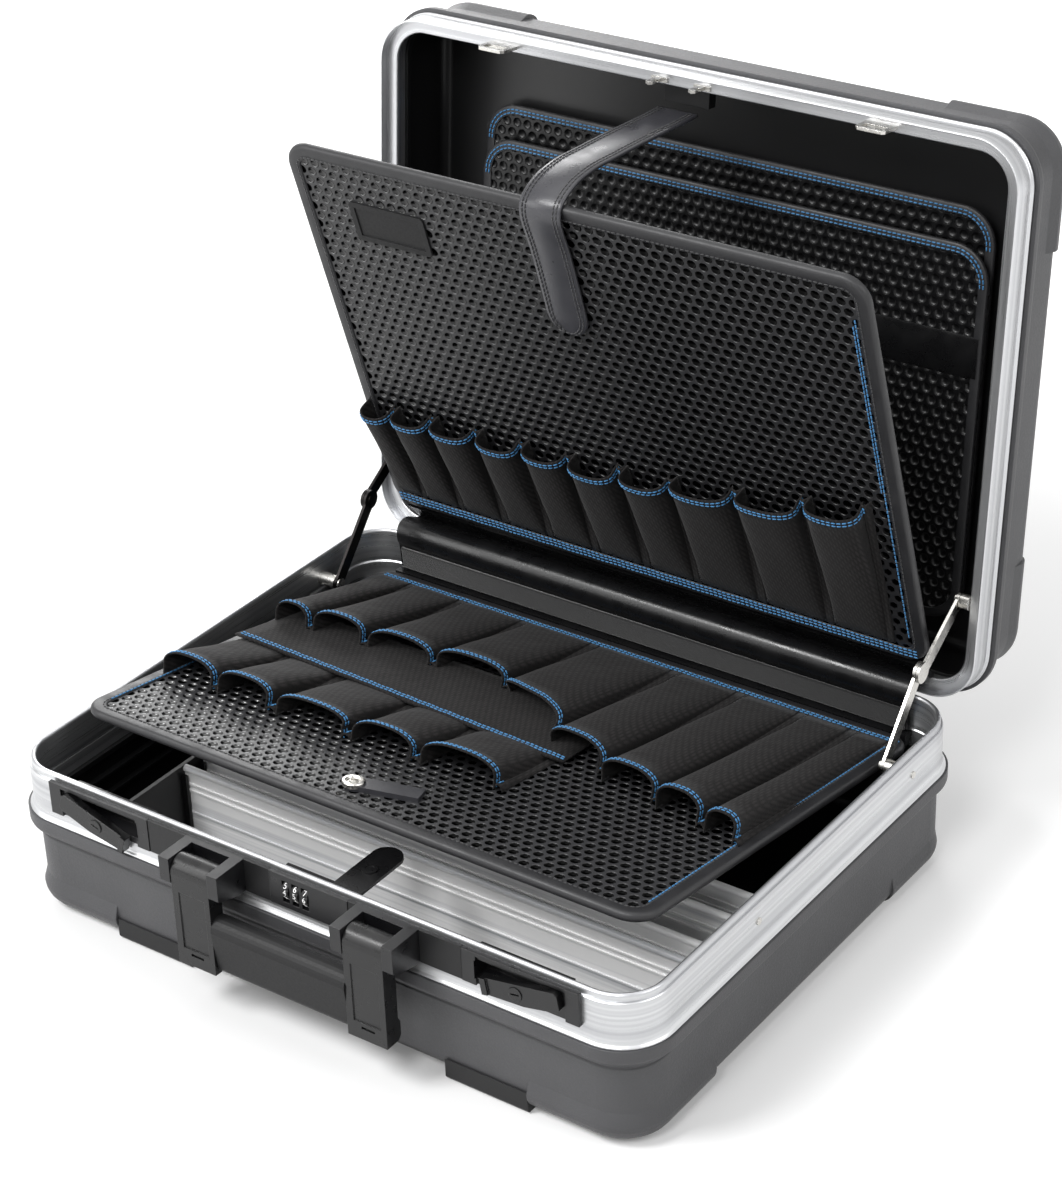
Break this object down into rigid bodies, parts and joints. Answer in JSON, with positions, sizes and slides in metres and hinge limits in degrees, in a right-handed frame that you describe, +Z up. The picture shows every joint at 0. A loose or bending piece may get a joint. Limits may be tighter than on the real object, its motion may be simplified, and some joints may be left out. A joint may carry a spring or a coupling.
{
  "type": "hard tool case",
  "caption": "Open hard case for hand tools: moulded shells in an aluminium frame, pocket boards in base and lid, folding stays, latches, number lock and a hinged carry handle.",
  "frame": {"origin": "on the centre of the raised panel under the base, a few millimetres above it at the level of the feet's undersides; the case stands on the plane z = 0", "axes": "+X along the width, to the right seen from the front; +Y from the front with its handle to the hinge at the back; +Z up"},
  "size_m": [0.488, 0.5214, 0.4763],
  "materials": {
    "shell_plastic": "fine moulded texture",
    "frame_aluminium": "satin anodised",
    "divider_aluminium": "bright drawn",
    "black_hardware": "satin black",
    "black_plastic": "matte",
    "bright_steel": "nickel plated",
    "board_plastic": "embossed with small dimples",
    "edge_tape": "woven tape",
    "pocket_fabric": "embossed coated fabric",
    "hinge_fabric": "black coated fabric",
    "strap_leather": "smooth black",
    "rubber": "matte"
  },
  "bodies": {
    "base": {"base_shell": "shell_plastic", "base_frame": "frame_aluminium", "feet": "rubber", "latch_housing_left": "black_hardware", "latch_housing_right": "black_hardware", "cover_strips": "black_hardware", "lock_housing": "black_hardware", "handle_bracket_left": "black_hardware", "handle_bracket_right": "black_hardware", "divider_1": "divider_aluminium", "divider_2": "divider_aluminium", "divider_3": "divider_aluminium", "divider_4": "divider_aluminium", "cross_divider": "black_plastic", "guide_strips": "black_plastic", "hold_down_tab": "strap_leather", "hinge_base": "bright_steel", "hinge_pin": "bright_steel", "hinge_cover": "hinge_fabric", "board_hinge_strip": "hinge_fabric", "stay_mounts_base": "bright_steel", "frame_rivets": "bright_steel"},
    "lid": {"lid_shell": "shell_plastic", "lid_frame": "frame_aluminium", "latch_loops": "bright_steel", "lock_hooks": "bright_steel", "document_pockets": "pocket_fabric", "hinge_lid": "bright_steel", "stay_mounts_lid": "bright_steel", "strap_anchor": "black_plastic", "strap": "strap_leather", "lid_hinge_flap": "hinge_fabric"},
    "lower_board_body": {"lower_board": "board_plastic", "lower_binding": "edge_tape", "front_pockets": "pocket_fabric", "back_pockets_left": "pocket_fabric", "back_pockets_right": "pocket_fabric", "pull_loop": "strap_leather"},
    "upper_board_body": {"upper_board": "board_plastic", "upper_binding": "edge_tape", "upper_pockets_left": "pocket_fabric", "upper_pockets_right": "pocket_fabric", "label_holder": "black_plastic"},
    "lever_left": {"latch_lever_left": "black_hardware"},
    "lever_right": {"latch_lever_right": "black_hardware"},
    "key_left": {"key_cylinder_left": "black_hardware"},
    "key_right": {"key_cylinder_right": "black_hardware"},
    "dial_left": {"dial_1": "black_plastic"},
    "dial_middle": {"dial_2": "black_plastic"},
    "dial_right": {"dial_3": "black_plastic"},
    "handle": {"handle_arms": "black_hardware", "handle_grip": "rubber"},
    "left_stay_lower": {"stay_lower_left": "bright_steel"},
    "right_stay_lower": {"stay_lower_right": "bright_steel"},
    "left_stay_upper": {"stay_upper_left": "bright_steel"},
    "right_stay_upper": {"stay_upper_right": "bright_steel"}
  },
  "joints": [
    {"name": "lid_hinge", "type": "hinge", "parent": "base", "child": "lid", "pos_m": [0, 0.1915, 0.098], "axis": [1, 0, 0], "range_deg": [0, 95.4], "deforming": ["hinge_cover"]},
    {"name": "lower_board_hinge", "type": "hinge", "parent": "base", "child": "lower_board_body", "pos_m": [0, 0.172, 0.081], "axis": [1, 0, 0], "range_deg": [0, 9.1], "deforming": ["hold_down_tab"]},
    {"name": "upper_board_hinge", "type": "hinge", "parent": "lid", "child": "upper_board_body", "pos_m": [0, 0.19166, 0.13153], "axis": [1, 0, 0], "range_deg": [-34.7, 0], "deforming": ["strap"]},
    {"name": "left_stay_foot", "type": "hinge", "parent": "base", "child": "left_stay_lower", "pos_m": [-0.22, 0.124, 0.093], "axis": [1, 0, 0], "range_deg": [0, 121.4]},
    {"name": "right_stay_foot", "type": "hinge", "parent": "base", "child": "right_stay_lower", "pos_m": [0.22, 0.124, 0.093], "axis": [1, 0, 0], "range_deg": [0, 121.4]},
    {"name": "left_stay_head", "type": "hinge", "parent": "lid", "child": "left_stay_upper", "pos_m": [-0.2224, 0.21245, 0.17085], "axis": [1, 0, 0], "range_deg": [-118.34, 0]},
    {"name": "right_stay_head", "type": "hinge", "parent": "lid", "child": "right_stay_upper", "pos_m": [0.2224, 0.21245, 0.17085], "axis": [1, 0, 0], "range_deg": [-118.34, 0]},
    {"name": "left_latch", "type": "hinge", "parent": "base", "child": "lever_left", "pos_m": [-0.184, -0.19, 0.097], "axis": [0, 1, 0], "range_deg": [-17, 0]},
    {"name": "right_latch", "type": "hinge", "parent": "base", "child": "lever_right", "pos_m": [0.184, -0.19, 0.097], "axis": [0, 1, 0], "range_deg": [-7, 10]},
    {"name": "left_key", "type": "hinge", "parent": "lever_left", "child": "key_left", "pos_m": [-0.1612, -0.19, 0.08951], "axis": [0, 1, 0], "range_deg": [0, 90]},
    {"name": "right_key", "type": "hinge", "parent": "lever_right", "child": "key_right", "pos_m": [0.16045, -0.19, 0.09234], "axis": [0, 1, 0], "range_deg": [0, 90]},
    {"name": "left_number_wheel", "type": "hinge", "parent": "base", "child": "dial_left", "pos_m": [-0.0105, -0.184, 0.0955], "axis": [1, 0, 0], "continuous": true},
    {"name": "middle_number_wheel", "type": "hinge", "parent": "base", "child": "dial_middle", "pos_m": [-0.0031, -0.184, 0.0955], "axis": [1, 0, 0], "continuous": true},
    {"name": "right_number_wheel", "type": "hinge", "parent": "base", "child": "dial_right", "pos_m": [0.0043, -0.184, 0.0955], "axis": [1, 0, 0], "continuous": true},
    {"name": "handle_pivot", "type": "hinge", "parent": "base", "child": "handle", "pos_m": [0, -0.2045, 0.097], "axis": [1, 0, 0], "range_deg": [-95, 0]}
  ],
  "couplings": [
    {"joint": "lower_board_hinge", "follows": "lid_hinge", "ratio": 0.09538},
    {"joint": "upper_board_hinge", "follows": "lid_hinge", "ratio": -0.36373},
    {"joint": "left_stay_foot", "follows": "lid_hinge", "ratio": 1.2725},
    {"joint": "right_stay_foot", "follows": "lid_hinge", "ratio": 1.2725},
    {"joint": "left_stay_head", "follows": "lid_hinge", "ratio": -1.2404},
    {"joint": "right_stay_head", "follows": "lid_hinge", "ratio": -1.2404}
  ]
}
